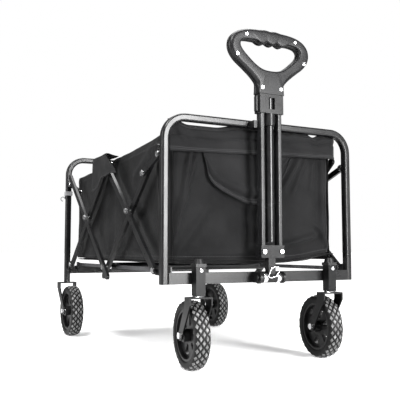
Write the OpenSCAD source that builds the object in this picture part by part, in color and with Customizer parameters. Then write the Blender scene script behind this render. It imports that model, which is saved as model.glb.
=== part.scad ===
// Folding camp wagon. Millimetres, +Z up, +Y to the rear, the handle stands at the front (-Y).
// The origin is on the ground under the middle of the wagon's footprint.

/* [Frame] */
// Distance across between the centres of the left and right legs
frame_w = 536; // [500:1:640]
// Distance between the front and rear leg planes
frame_l = 800; // [740:1:900]
// Height of the top rails above the ground
frame_h = 600; // [570:1:680]
// How far the frame sits behind the middle of the footprint
frame_shift = 18; // [0:1:30]
// Width of the leg tube, across the wagon
leg_w = 18; // [16:1:22]
// Depth of the leg tube, along the wagon
leg_d = 20; // [18:1:24]
// Rounding of the tube's edges
tube_edge = 5; // [3:0.5:7]
// Wall of the frame tubes
tube_wall = 1.5; // [1:0.1:2]
// Outer radius of the top corner bends
corner_r = 62; // [50:1:75]
// Height of the underside of the lower cross rails
rail_z = 201; // [198:1:206]
// Height of the lower cross rail section
rail_h = 26; // [22:1:26]

/* [Scissor] */
// Height of the lower scissor pivots
pivot_z = 232; // [230:1:236]
// Distance from a leg plane to its lower scissor pivot
pivot_inset = 40; // [36:1:46]
// Rest angle of the scissor bars above level, in degrees
scissor_angle = 39.7; // [37:0.1:42]
// Fold angle added when the wagon is closed, in degrees
fold_angle = 42.3; // [30:0.1:43]
// Width of the scissor bars
bar_w = 18; // [16:1:20]
// Thickness of the scissor bars
bar_t = 8; // [7:0.5:9]
// Gap between the outer and inner scissor bars
bar_gap = 4; // [4:0.5:6]
// Radius of the rivets and pivot pins
pin_r = 4; // [3.5:0.1:4.5]
// Radial running clearance of a pin in its hole
pin_play = 0.05; // [0.02:0.01:0.1]
// Gap left between parts that pass each other
part_gap = 0.4; // [0.3:0.05:0.5]
// How far the lower bar ends reach past the middle pivot
foot_l = 40; // [30:1:44]
// Distance along a bar from the lower middle pivot to the swing link rivet
link_at = 370; // [350:1:385]
// Distance from a leg plane to the swing link's leg pivot
link_inset = 20; // [18:1:22]
// Width of the swing links
link_w = 16; // [14:1:18]
// Diameter of the middle cross tube
cross_tube_d = 25; // [20:1:26]

/* [Basket] */
// Distance from the middle of a side's legs to the basket's outer face
basket_side_gap = 28; // [26:0.5:48]
// Gap between a leg plane and the basket's end wall
basket_inset = 12; // [11:1:20]
// Height of the underside of the basket floor
basket_z = 247; // [246.5:0.5:260]
// Height of the basket's top edge at the front
basket_top = 573; // [540:1:576]
// Thickness of the fabric walls
wall_t = 3; // [2:0.5:5]
// Thickness of the padded floor
floor_t = 7; // [5:0.5:12]

/* [Wheels] */
// Wheel diameter
wheel_d = 162; // [140:1:166]
// Tyre width
tyre_w = 38; // [32:1:42]
// Width of the wheel hub
hub_w = 44; // [43:1:46]
// Radius of the axle bolts
axle_r = 4; // [3.5:0.1:5]
// Distance between the inner faces of a fork's plates
fork_gap = 50; // [47:1:54]
// Thickness of the fork plate
fork_t = 3.5; // [3:0.5:4]
// Height of the fork's top face
fork_z = 172; // [172:1:176]
// Distance across from the middle to a front caster post
post_x = 190; // [180:1:200]
// Width of the square caster posts
post_w = 24; // [22:1:28]
// Height of the top of the caster posts
post_top = 241; // [236:1:244]
// Trail of the front casters
caster_trail = 45; // [35:1:50]
// Direction that the front casters point, in degrees
caster_yaw = 5; // [0:1:8]
// How far the rear axle sits ahead of the rear legs
rear_rake = 62; // [45:1:70]

/* [Handle] */
// Distance from the front leg plane to the handle's middle plane
handle_gap = 34; // [32:1:40]
// Height of the handle's pitch axis
hinge_z = 213; // [210:1:216]
// Width over the two handle rails
handle_w = 62; // [58:1:70]
// Width of a handle rail
rail_tube_w = 12; // [10:1:14]
// Depth of a handle rail
rail_tube_d = 20; // [16:1:22]
// Diameter of the sliding centre tube
slide_tube_d = 20; // [18:1:20]
// Height of the underside of the lower handle block
block_z = 261; // [259:1:270]
// Height of the lower handle block
block_h = 30; // [26:1:36]
// Height of the underside of the collar
collar_z = 614; // [600:1:620]
// Height of the collar
collar_h = 47; // [44:1:56]
// Width of the grip
grip_w = 230; // [210:1:240]
// Height of the grip with its neck
grip_h = 160; // [150:1:170]
// Thickness of the grip
grip_t = 28; // [26:1:32]
// Travel of the release button
button_travel = 4; // [3:0.5:5]

/* [Hidden] */
$fn = 48;
fine = 96;
eps = 0.01;

front_y = frame_shift - frame_l / 2;
rear_y = frame_shift + frame_l / 2;
half_w = frame_w / 2;
basket_w = frame_w - 2 * basket_side_gap;
leg_base = rail_z;
bar_len = (frame_l / 2 - pivot_inset) / cos(scissor_angle);
hub_top_z = pivot_z + bar_len * sin(scissor_angle);
// Bar layers, measured from the middle plane of the legs: outer bars lie outside, inner bars inside
outer_x = half_w + bar_gap / 2 + bar_t / 2;
inner_x = half_w - bar_gap / 2 - bar_t / 2;
plate_t = bar_gap - 2 * part_gap;
// Height of the swing link's leg pivot, which makes the link fit at rest and when folded
fold_end = scissor_angle + fold_angle;
link_span = bar_len - link_at;
link_near = link_span * cos(scissor_angle) + pivot_inset - link_inset;
link_far = link_span * cos(fold_end) + pivot_inset - link_inset;
link_rise = (pow(link_at, 2) * (pow(sin(scissor_angle), 2) - pow(sin(fold_end), 2))
    + pow(link_near, 2) - pow(link_far, 2)) / (2 * link_at * (sin(scissor_angle) - sin(fold_end)));
link_z = pivot_z + link_rise;
wheel_r = wheel_d / 2;
post_y = front_y - leg_d / 2 - post_w / 2;
handle_y = front_y - handle_gap;
tube_r = slide_tube_d / 2;
grip_z = collar_z + collar_h + part_gap;
hole_r = pin_r + pin_play;
strut_inset = 26;
strut_tip = 22;
strut_h = 10;
strut_t = 4;
front_strut_x = basket_w / 2;
rear_strut_x = front_strut_x - strut_t - 3;

module both_sides() {
    children();
    mirror([1, 0, 0]) children();
}

// Draws the right-hand piece, or its mirror image on the left when side is -1
module on_side(side) {
    if (side < 0) mirror([1, 0, 0]) children();
    else children();
}

// Turns a piece of the front frame into the matching piece of the rear frame
module facing_front() {
    mirror([0, 1, 0]) children();
}

// A cylinder along X whose middle is at the origin
module rod_x(r, len) {
    rotate([0, 90, 0]) cylinder(r = r, h = len, center = true);
}

// A cylinder along Y whose middle is at the origin
module rod_y(r, len) {
    rotate([90, 0, 0]) cylinder(r = r, h = len, center = true);
}

// Cross-section of a tube with rounded edges
module round_box(w, d, r) {
    square([w - 2 * r, d], center = true);
    square([w, d - 2 * r], center = true);
    for (x = [-1, 1], y = [-1, 1]) translate([x * (w / 2 - r), y * (d / 2 - r)]) circle(r);
}

// Cross-section of the frame tube
module frame_section() {
    difference() {
        round_box(leg_w, leg_d, tube_edge);
        round_box(leg_w - 2 * tube_wall, leg_d - 2 * tube_wall, tube_edge - tube_wall);
    }
}

// Bent frame tube: two legs that stand on the given height, two bends and the top rail
module bent_frame(base) {
    bend = corner_r - leg_w / 2;
    top = frame_h - leg_w / 2;
    both_sides() {
        translate([half_w, 0, base]) linear_extrude(top - bend - base) frame_section();
        translate([half_w - bend, 0, top - bend]) rotate([90, 0, 0])
            rotate_extrude(angle = 90, $fn = fine) translate([bend, 0]) frame_section();
    }
    translate([0, 0, top]) rotate([0, 90, 0])
        linear_extrude(2 * (half_w - bend), center = true) frame_section();
}

// Lower cross rail: a box tube between the legs
module cross_rail() {
    span = frame_w - leg_w;
    translate([0, 0, rail_z + rail_h / 2]) difference() {
        cube([span, leg_d, rail_h], center = true);
        cube([span + 2, leg_d - 2 * tube_wall, rail_h - 2 * tube_wall], center = true);
    }
}

module rear_frame() {
    color([0.07, 0.07, 0.075]) translate([0, rear_y, 0]) bent_frame(fork_z);
}

module front_frame() {
    color([0.07, 0.07, 0.075]) translate([0, front_y, 0]) bent_frame(leg_base);
}

module rear_rail() {
    color([0.07, 0.07, 0.075]) translate([0, rear_y, 0]) cross_rail();
}

module front_rail() {
    color([0.07, 0.07, 0.075]) translate([0, front_y, 0]) cross_rail();
}

// Flat tab that reaches from a leg or rail to a pivot. "reach" is the distance from the leg plane.
module pivot_tab(reach, height, thick) {
    difference() {
        union() {
            translate([0, reach, 0]) rod_x(height / 2, thick);
            translate([-thick / 2, leg_d / 2, -height / 2]) cube([thick, reach - leg_d / 2, height]);
        }
        translate([0, reach, 0]) rod_x(hole_r, thick + 2);
    }
}

// Lower scissor tabs, upper link tabs and floor strut tabs of one frame, reaching towards +Y
module leg_tabs(strut_x) {
    both_sides() {
        translate([half_w, 0, pivot_z]) pivot_tab(pivot_inset, 22, plate_t);
        translate([half_w, 0, link_z]) pivot_tab(link_inset, 18, plate_t);
        translate([strut_x + strut_t / 2 + part_gap + plate_t / 2, 0, pivot_z]) difference() {
            union() {
                translate([0, strut_inset, 0]) rod_x(8, plate_t);
                translate([-plate_t / 2, leg_d / 2, rail_z + rail_h - 14 - pivot_z])
                    cube([plate_t, strut_inset - leg_d / 2, pivot_z - rail_z - rail_h + 22]);
            }
            translate([0, strut_inset, 0]) rod_x(hole_r, plate_t + 2);
        }
    }
}

module front_leg_brackets() {
    color([0.10, 0.10, 0.105]) translate([0, front_y, 0]) leg_tabs(front_strut_x);
}

module rear_leg_brackets() {
    color([0.10, 0.10, 0.105]) translate([0, rear_y, 0]) facing_front() leg_tabs(rear_strut_x);
}

// Scissor bar layout. "dir" is -1 for a bar that rises towards the front, +1 towards the rear.
// The bar is drawn from its lower pivot, which is at the origin, and lies in the YZ plane.
module bar_outline(low, high) {
    translate([low, -bar_w / 2]) square([high - low, bar_w]);
    translate([low, 0]) circle(bar_w / 2);
    translate([high, 0]) circle(bar_w / 2);
}

// A channel bar with holes at the given distances; the open side of the channel faces inwards
module bar(low, high, holes, dir) {
    lip = bar_w / 2 - 2;
    boss = bar_w / 2 + 4;
    rotate([90, 0, 90]) mirror([dir < 0 ? 1 : 0, 0, 0]) rotate([0, 0, scissor_angle]) difference() {
        translate([0, 0, -bar_t / 2]) linear_extrude(bar_t) bar_outline(low, high);
        for (h = holes) translate([h, 0, 0]) cylinder(r = hole_r, h = bar_t + 2, center = true);
        for (i = [0 : len(holes) - 2])
            if (holes[i + 1] - holes[i] > 2 * boss + 4)
                translate([holes[i] + boss, -lip, -bar_t / 2 - 1])
                    cube([holes[i + 1] - holes[i] - 2 * boss, 2 * lip, bar_t - 1]);
    }
}

module bar_on(side, x, y, low, high, holes, dir) {
    color([0.08, 0.08, 0.085]) on_side(side) translate([x, y, pivot_z]) bar(low, high, holes, dir);
}

// Bars A and D cross at the lower middle and end close to the top of the legs
upper_end = bar_len - 12;
module bar_a(side) {
    bar_on(side, outer_x, frame_shift, -foot_l, upper_end, [0, bar_len / 2, link_at], 1);
}

module bar_d(side) {
    bar_on(side, inner_x, frame_shift, -foot_l, upper_end, [0, bar_len / 2, link_at], -1);
}

// Bars B and C run from the leg tabs to the top middle pivot
module bar_b(side) {
    bar_on(side, inner_x, rear_y - pivot_inset, 0, bar_len, [0, bar_len / 2, bar_len], -1);
}

module bar_c(side) {
    bar_on(side, outer_x, front_y + pivot_inset, 0, bar_len, [0, bar_len / 2, bar_len], 1);
}

module left_bar_a() { bar_a(-1); }
module left_bar_b() { bar_b(-1); }
module left_bar_c() { bar_c(-1); }
module left_bar_d() { bar_d(-1); }
module right_bar_a() { bar_a(1); }
module right_bar_b() { bar_b(1); }
module right_bar_c() { bar_c(1); }
module right_bar_d() { bar_d(1); }

head_r = 7;
head_t = 2.6;

// A pin along X with a domed head at each end, from x = low to x = high
module headed_pin(low, high) {
    translate([(low + high) / 2, 0, 0]) rod_x(pin_r, high - low);
    for (end = [[low - head_t / 2, 1], [high + head_t / 2, 1]])
        translate([end[0], 0, 0]) rod_x(head_r, head_t);
}

pin_low = inner_x - bar_t / 2 - part_gap;
pin_high = outer_x + bar_t / 2 + part_gap;
cross_y = (frame_l / 2 - pivot_inset) / 2;
cross_half = pin_low - head_t;
plug_l = 15;

module bar_a_rivets() {
    color([0.78, 0.78, 0.80]) both_sides() {
        translate([0, frame_shift + cross_y, (pivot_z + hub_top_z) / 2]) headed_pin(pin_low, pin_high);
        translate([0, frame_shift, pivot_z]) {
            headed_pin(pin_low, pin_high);
            translate([cross_half - plug_l / 2, 0, 0]) rod_x(cross_tube_d / 2 - tube_wall, plug_l);
        }
    }
}

module bar_b_bolts() {
    color([0.78, 0.78, 0.80]) both_sides() {
        translate([0, rear_y - pivot_inset, pivot_z])
            headed_pin(pin_low, half_w + plate_t / 2 + part_gap);
        translate([0, frame_shift, hub_top_z]) headed_pin(pin_low, pin_high);
    }
}

module bar_c_rivets() {
    color([0.78, 0.78, 0.80]) both_sides() {
        translate([0, frame_shift - cross_y, (pivot_z + hub_top_z) / 2]) headed_pin(pin_low, pin_high);
        translate([0, front_y + pivot_inset, pivot_z])
            headed_pin(half_w - plate_t / 2 - part_gap, pin_high);
    }
}

// Cross tube between the two lower middle pivots
module cross_tube() {
    color([0.07, 0.07, 0.075]) translate([0, frame_shift, pivot_z]) difference() {
        rod_x(cross_tube_d / 2, 2 * cross_half);
        rod_x(cross_tube_d / 2 - tube_wall, 2 * cross_half + 2);
    }
}

// Swing link from a leg to a scissor bar. It lies in the outer layer in front, on the inner bar D,
// and in the inner layer at the rear, on the outer bar A.
link_t = bar_t - 2;
link_x = half_w + plate_t / 2 + part_gap + link_t / 2;
link_leg = link_inset;
link_bar = frame_l / 2 - link_at * cos(scissor_angle);
link_bar_z = pivot_z + link_at * sin(scissor_angle);
link_len = norm([link_bar - link_leg, link_bar_z - link_z]);
link_slope = atan2(link_bar_z - link_z, link_bar - link_leg);

module link_plate() {
    rotate([90, 0, 90]) rotate([0, 0, link_slope]) difference() {
        translate([0, 0, -link_t / 2]) linear_extrude(link_t) {
            translate([0, -link_w / 2]) square([link_len, link_w]);
            circle(link_w / 2);
            translate([link_len, 0]) circle(link_w / 2);
        }
        for (h = [0, link_len]) translate([h, 0, 0]) cylinder(r = hole_r, h = link_t + 2, center = true);
    }
}

module link_pins() {
    headed_pin(half_w - plate_t / 2 - part_gap, link_x + link_t / 2 + part_gap);
    translate([0, link_bar - link_leg, link_bar_z - link_z]) {
        short_low = half_w + plate_t / 2 + part_gap;
        short_high = link_x + link_t / 2 + part_gap;
        translate([(short_low + short_high) / 2, 0, 0]) rod_x(pin_r, short_high - short_low);
        translate([short_high + head_t / 2, 0, 0]) rod_x(head_r, head_t);
    }
}

module front_links() {
    color([0.08, 0.08, 0.085]) both_sides() translate([link_x, front_y + link_inset, link_z]) link_plate();
}

// Moves a piece of the outer layer into the inner layer, across the legs' middle plane
module inner_layer() {
    translate([2 * half_w, 0, 0]) mirror([1, 0, 0]) children();
}

module rear_links() {
    color([0.08, 0.08, 0.085]) both_sides() inner_layer()
        translate([link_x, rear_y - link_inset, link_z]) facing_front() link_plate();
}

module front_link_rivets() {
    color([0.78, 0.78, 0.80]) both_sides() translate([0, front_y + link_inset, link_z]) link_pins();
}

module rear_link_rivets() {
    color([0.78, 0.78, 0.80]) both_sides() inner_layer()
        translate([0, rear_y - link_inset, link_z]) facing_front() link_pins();
}

// Thin floor struts that fold up with the floor. They start at a tab and point to the middle.
module strut_pair(x) {
    len = frame_l / 2 - strut_inset - strut_tip;
    both_sides() translate([x, strut_inset, pivot_z]) {
        rod_x(strut_h / 2 + 1, strut_t);
        translate([-strut_t / 2, 0, -strut_h / 2]) cube([strut_t, len, strut_h]);
        translate([plate_t / 2 + part_gap, 0, 0])
            rod_x(pin_r, strut_t + plate_t + 2 * part_gap);
    }
}

module front_floor_struts() {
    color([0.16, 0.16, 0.17]) translate([0, front_y, 0]) strut_pair(front_strut_x);
}

module rear_floor_struts() {
    color([0.16, 0.16, 0.17]) translate([0, rear_y, 0]) facing_front() strut_pair(rear_strut_x);
}

// Small strap loop round the rear left leg with a wire hook on it
module hook_strap() {
    loop_t = 2;
    color([0.3, 0.3, 0.31]) translate([-half_w, rear_y, frame_h - 134]) {
        linear_extrude(14) difference() {
            square([leg_w + 2 * loop_t, leg_d + 2 * loop_t], center = true);
            square([leg_w + 0.1, leg_d + 0.1], center = true);
        }
        translate([-leg_w / 2 - loop_t - 8, 0, -12]) rotate([90, 0, 0])
            rotate_extrude(angle = 270) translate([7, 0]) circle(1.5, $fn = 16);
        translate([-leg_w / 2 - loop_t - 1, 0, -12]) cylinder(r = 1.5, h = 16, $fn = 16);
    }
}

// Fork: a bent plate with two side plates that narrow towards the axle. "back" is where the axle lies.
module fork_side(back, plate_y) {
    rotate([90, 0, 90]) linear_extrude(fork_t) {
        polygon([[-plate_y, fork_z], [plate_y, fork_z], [plate_y, fork_z - 18],
            [back + 12, wheel_r], [back - 12, wheel_r], [-plate_y, fork_z - 18]]);
        translate([back, wheel_r]) circle(12);
    }
}

module fork(back) {
    plate_y = 17;
    outer = fork_gap / 2 + fork_t;
    color([0.09, 0.09, 0.095]) difference() {
        union() {
            translate([-outer, -plate_y, fork_z - fork_t]) cube([2 * outer, 2 * plate_y, fork_t]);
            translate([fork_gap / 2, 0, 0]) fork_side(back, plate_y);
            translate([-outer, 0, 0]) fork_side(back, plate_y);
        }
        translate([0, back, wheel_r]) rod_x(axle_r + pin_play, 2 * outer + 2);
    }
}

module rear_left_fork() { translate([-half_w, rear_y, 0]) fork(-rear_rake); }
module rear_right_fork() { translate([half_w, rear_y, 0]) fork(-rear_rake); }

// Axle bolt with a hex-like round head and a nut, centred on the wheel
module axle_bolt() {
    outer = fork_gap / 2 + fork_t;
    color([0.80, 0.80, 0.82]) {
        rod_x(axle_r, 2 * outer + 6);
        for (side = [-1, 1]) translate([side * (outer + 2.2), 0, 0]) rod_x(7.5, 4.4);
        for (side = [-1, 1]) translate([side * (fork_gap + hub_w) / 4, 0, 0])
            rod_x(7, (fork_gap - hub_w) / 2 - part_gap);
    }
}

module rear_axle_bolts() {
    both_sides() translate([half_w, rear_y - rear_rake, wheel_r]) axle_bolt();
}

// Tyre section: a rounded tread with a shoulder, and the bead that sits on the rim
rim_r = wheel_r - 21;
module tyre() {
    shoulder = 9;
    color([0.05, 0.05, 0.055]) rotate([0, 90, 0]) rotate_extrude($fn = fine) {
        translate([rim_r, -tyre_w / 2 + 3]) square([wheel_r - rim_r - shoulder, tyre_w - 6]);
        translate([rim_r + 3, -tyre_w / 2]) square([wheel_r - rim_r - shoulder - 3, tyre_w]);
        translate([wheel_r - shoulder - eps, -tyre_w / 2 + shoulder])
            square([shoulder + eps, tyre_w - 2 * shoulder]);
        for (side = [-1, 1]) translate([wheel_r - shoulder, side * (tyre_w / 2 - shoulder)]) circle(shoulder);
    }
}

// Rim with a hub and broad spokes left between round-ended windows
spoke_count = 6;
module rim() {
    web_t = 12;
    rim_wall = 5;
    hub_r = 15;
    color([0.13, 0.13, 0.135]) rotate([0, 90, 0]) difference() {
        rotate_extrude($fn = fine) {
            translate([0, -hub_w / 2]) square([hub_r, hub_w]);
            translate([0, -web_t / 2]) square([rim_r - 1, web_t]);
            translate([rim_r - rim_wall, -tyre_w / 2 + 3]) square([rim_wall, tyre_w - 6]);
        }
        cylinder(r = axle_r + pin_play, h = hub_w + 2, center = true);
        for (i = [0 : spoke_count - 1]) rotate([0, 0, i * 360 / spoke_count + 15]) {
            translate([hub_r + 12, 0, 0]) cylinder(r = 5, h = web_t + 2, center = true);
            translate([rim_r - rim_wall - 11, 0, 0]) cylinder(r = 10, h = web_t + 2, center = true);
            linear_extrude(web_t + 2, center = true)
                polygon([[hub_r + 12, -5], [rim_r - rim_wall - 11, -10], [rim_r - rim_wall - 11, 10], [hub_r + 12, 5]]);
        }
    }
}

module at_rear_wheel(side) {
    translate([side * half_w, rear_y - rear_rake, wheel_r]) children();
}

module rear_left_tyre() { at_rear_wheel(-1) tyre(); }
module rear_left_rim() { at_rear_wheel(-1) rim(); }
module rear_right_tyre() { at_rear_wheel(1) tyre(); }
module rear_right_rim() { at_rear_wheel(1) rim(); }

// Square caster post on the front face of the lower rail, bored for the caster stem
stem_r = 6;
stem_len = 56;
module caster_post(side) {
    bearing_t = 3;
    color([0.07, 0.07, 0.075]) translate([side * post_x, post_y, 0]) difference() {
        translate([-post_w / 2, -post_w / 2, fork_z + bearing_t])
            cube([post_w, post_w, post_top - fork_z - bearing_t]);
        translate([0, 0, fork_z]) cylinder(r = stem_r + pin_play, h = stem_len + 1);
    }
}

module front_left_post() { caster_post(-1); }
module front_right_post() { caster_post(1); }

// Plastic caps with sloping tops on the posts
module post_caps() {
    cap_h = 14;
    color([0.03, 0.03, 0.03]) both_sides() translate([post_x, post_y, post_top]) {
        translate([0, 0, cap_h / 4]) cube([post_w + 3, post_w + 3, cap_h / 2], center = true);
        translate([0, 0, cap_h / 2]) cylinder(r1 = post_w * 0.58, r2 = post_w * 0.42, h = cap_h / 2 + 4);
    }
}

module at_caster(side) {
    translate([side * post_x, post_y, 0]) rotate([0, 0, -caster_yaw]) children();
}

module caster_fork(side) {
    at_caster(side) {
        fork(caster_trail);
        color([0.6, 0.6, 0.62]) {
            translate([0, 0, fork_z]) cylinder(r = post_w / 2, h = 2.6);
            translate([0, 0, fork_z]) cylinder(r = stem_r, h = stem_len);
        }
    }
}

module at_caster_wheel(side) {
    at_caster(side) translate([0, caster_trail, wheel_r]) children();
}

module front_left_fork() { caster_fork(-1); }
module front_right_fork() { caster_fork(1); }
module front_left_axle_bolt() { at_caster_wheel(-1) axle_bolt(); }
module front_right_axle_bolt() { at_caster_wheel(1) axle_bolt(); }
module front_left_tyre() { at_caster_wheel(-1) tyre(); }
module front_left_rim() { at_caster_wheel(-1) rim(); }
module front_right_tyre() { at_caster_wheel(1) tyre(); }
module front_right_rim() { at_caster_wheel(1) rim(); }

// Basket: soft walls and a padded floor, open at the top
basket_front = front_y + basket_inset;
basket_back = rear_y - basket_inset;
basket_mid_top = basket_top - 26;
basket_rear_top = basket_top - 48;
module end_wall(y, top) {
    half = basket_w / 2 - wall_t - part_gap;
    base = basket_z + floor_t + part_gap;
    color([0.05, 0.05, 0.055]) translate([-half, y, base]) cube([2 * half, wall_t, top - base]);
}

module side_wall(side) {
    color([0.045, 0.045, 0.05]) translate([side * (basket_w - wall_t) / 2, 0, 0]) rotate([90, 0, 90])
        linear_extrude(wall_t, center = true) polygon([[basket_front, basket_z + floor_t],
            [basket_back, basket_z + floor_t], [basket_back, basket_rear_top],
            [frame_shift, basket_mid_top], [basket_front, basket_top]]);
}

module basket_front_wall() { end_wall(basket_front, basket_top); }
module basket_rear_wall() { end_wall(basket_back - wall_t, basket_rear_top); }
module basket_left_side() { side_wall(-1); }
module basket_right_side() { side_wall(1); }

module basket_floor() {
    color([0.04, 0.04, 0.045]) translate([-basket_w / 2, basket_front, basket_z])
        cube([basket_w, basket_back - basket_front, floor_t]);
}

// Handle bracket: two ears on the lower rail's front face with the hinge pin through them
ear_t = 6;
knuckle_w = handle_w - 2;
module handle_bracket() {
    ear_x = knuckle_w / 2 + part_gap + ear_t / 2;
    reach = handle_gap - leg_d / 2;
    color([0.09, 0.09, 0.095]) translate([0, handle_y, hinge_z]) both_sides()
        translate([ear_x, 0, 0]) difference() {
            union() {
                rod_x(14, ear_t);
                translate([-ear_t / 2, 0, -12]) cube([ear_t, reach, 26]);
            }
            rod_x(hole_r, ear_t + 2);
        }
}

// Black clip on the top rail that the upright handle rests in
module handle_clip() {
    rail_face = front_y - leg_d / 2;
    rest_face = handle_y + rail_tube_d / 2 + part_gap;
    clip_h = 18;
    low = frame_h - 22;
    lip_w = 11;
    lip_d = 9;
    outer = handle_w / 2 + 1 + lip_w;
    color([0.03, 0.03, 0.03]) {
        translate([-outer, rest_face, low]) cube([lip_w + 1 + rail_tube_w, rail_face - rest_face, clip_h]);
        translate([-outer, rest_face - lip_d, low]) cube([lip_w, lip_d + eps, clip_h]);
    }
}

// Hinge knuckle with its neck, and the pin that turns with it
module handle_hinge() {
    neck_w = 20;
    neck_d = 16;
    color([0.10, 0.10, 0.105]) translate([0, handle_y, hinge_z]) {
        rod_x(12, knuckle_w);
        rod_x(pin_r, knuckle_w + 2 * ear_t + 8);
        for (side = [-1, 1]) translate([side * (knuckle_w / 2 + ear_t + 3), 0, 0]) rod_x(7, 3.4);
        translate([-neck_w / 2, -neck_d / 2, 0]) cube([neck_w, neck_d, block_z - hinge_z]);
    }
}

module handle_block() {
    block_d = 24;
    color([0.09, 0.09, 0.095]) translate([0, handle_y, block_z]) difference() {
        translate([-handle_w / 2 - 2, -block_d / 2, 0]) cube([handle_w + 4, block_d, block_h]);
        both_sides() translate([(handle_w - rail_tube_w) / 2, 0, block_h / 2])
            rod_y(3 + pin_play, block_d + 2);
    }
}

module handle_rails() {
    rail_base = block_z + block_h;
    color([0.07, 0.07, 0.075]) both_sides()
        translate([(handle_w - rail_tube_w) / 2, handle_y, rail_base])
            linear_extrude(collar_z - rail_base) difference() {
                round_box(rail_tube_w, rail_tube_d, 3);
                round_box(rail_tube_w - 2 * tube_wall, rail_tube_d - 2 * tube_wall, 1.5);
            }
}

// Collar with a guide bush below it, a front window and a pocket for the release button
collar_w = handle_w + 6;
collar_d = 26;
pocket_h = 38;
pocket_d = 12;
button_in = 14;
module handle_collar() {
    bush_h = 30;
    color([0.08, 0.08, 0.085]) translate([0, handle_y, collar_z]) difference() {
        union() {
            translate([-collar_w / 2, -collar_d / 2, 0]) cube([collar_w, collar_d, collar_h]);
            translate([0, 0, -bush_h]) cylinder(r = tube_r + 4, h = bush_h + eps);
        }
        translate([0, 0, -bush_h - 1]) cylinder(r = tube_r + pin_play, h = collar_h + bush_h + 2);
        translate([-9, -collar_d, 10]) cube([18, collar_d, collar_h - 18]);
        translate([-collar_w / 2 - 1, -pocket_d / 2, 4]) cube([button_in + button_travel + 1, pocket_d, pocket_h]);
    }
}

module release_button() {
    proud = button_travel + 2;
    color([0.02, 0.02, 0.02]) translate([-collar_w / 2 - proud, handle_y - pocket_d / 2 + part_gap, collar_z + 4 + part_gap])
        cube([button_in + proud, pocket_d - 2 * part_gap, pocket_h - 2 * part_gap]);
}

module handle_bolts() {
    color([0.80, 0.80, 0.82]) both_sides()
        translate([(handle_w - rail_tube_w) / 2, handle_y, block_z + block_h / 2]) {
            rod_y(3, 26);
            for (side = [-1, 1]) translate([0, side * 14, 0]) rod_y(5.5, 4);
        }
}

// Sliding centre tube, which carries the grip
tube_base = block_z + block_h + 8;
socket_h = 46;
module slide_tube() {
    color([0.09, 0.09, 0.095]) translate([0, handle_y, tube_base]) difference() {
        cylinder(r = tube_r, h = grip_z + socket_h - tube_base);
        translate([0, 0, -1]) cylinder(r = tube_r - tube_wall, h = grip_z + socket_h - tube_base - 10);
    }
}

// Grip outline seen from the front: a broad bow over a neck
module grip_outline() {
    bow = grip_w / 2 - 26;
    hull() {
        for (x = [-1, 1]) translate([x * bow, grip_h - 54]) circle(26, $fn = 32);
        for (x = [-1, 1]) translate([x * (bow - 32), grip_h - 30]) circle(30, $fn = 32);
        for (x = [-1, 1]) translate([x * 28, 30]) circle(16, $fn = 32);
    }
    translate([-36, 0]) square([72, 44]);
}

// Finger opening with three bumps along its upper edge
module grip_hole() {
    half = grip_w / 2 - 28;
    top = grip_h - 30;
    difference() {
        hull() {
            for (x = [-1, 1]) translate([x * (half - 12), top - 16]) circle(12, $fn = 32);
            for (x = [-1, 1]) translate([x * (half - 24), top - 12]) circle(12, $fn = 32);
            for (x = [-1, 1]) translate([x * 22, top - 58]) circle(12, $fn = 32);
        }
        for (x = [-28, 0, 28]) translate([x, top + 7]) circle(13, $fn = 32);
    }
}

screw_spots = [[72, grip_h - 19], [98, grip_h - 71], [27, 15]];
screw_r = 3;
module grip_half() {
    difference() {
        rotate([90, 0, 0]) linear_extrude(grip_t / 2) difference() {
            grip_outline();
            grip_hole();
        }
        translate([0, 0, -1]) cylinder(r = tube_r + pin_play, h = socket_h + 1.2);
        both_sides() for (spot = screw_spots)
            translate([spot[0], 0, spot[1]]) rod_y(screw_r + pin_play, grip_t + 2);
    }
}

module grip_front() {
    color([0.03, 0.03, 0.032]) translate([0, handle_y, grip_z]) grip_half();
}

module grip_back() {
    color([0.03, 0.03, 0.032]) translate([0, handle_y, grip_z]) facing_front() grip_half();
}

module grip_screws() {
    color([0.75, 0.75, 0.77]) translate([0, handle_y, grip_z]) both_sides() for (spot = screw_spots)
        translate([spot[0], 0, spot[1]]) {
            rod_y(screw_r, grip_t);
            translate([0, -grip_t / 2 - 0.5, 0]) rod_y(4.2, 1);
        }
}

rear_frame();
rear_rail();
rear_leg_brackets();
rear_left_fork();
rear_right_fork();
rear_axle_bolts();
rear_left_tyre();
rear_left_rim();
rear_right_tyre();
rear_right_rim();
hook_strap();
front_frame();
front_rail();
front_leg_brackets();
front_left_post();
front_right_post();
post_caps();
handle_bracket();
handle_clip();
front_left_fork();
front_right_fork();
front_left_axle_bolt();
front_right_axle_bolt();
front_left_tyre();
front_left_rim();
front_right_tyre();
front_right_rim();
left_bar_a();
left_bar_b();
left_bar_c();
left_bar_d();
right_bar_a();
right_bar_b();
right_bar_c();
right_bar_d();
bar_a_rivets();
bar_b_bolts();
bar_c_rivets();
cross_tube();
front_links();
front_link_rivets();
rear_links();
rear_link_rivets();
front_floor_struts();
rear_floor_struts();
basket_rear_wall();
basket_front_wall();
basket_left_side();
basket_right_side();
basket_floor();
handle_hinge();
handle_block();
handle_rails();
handle_collar();
handle_bolts();
release_button();
slide_tube();
grip_front();
grip_back();
grip_screws();
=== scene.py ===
import math

import bmesh
import bpy
from mathutils import Matrix, Vector, noise


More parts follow.
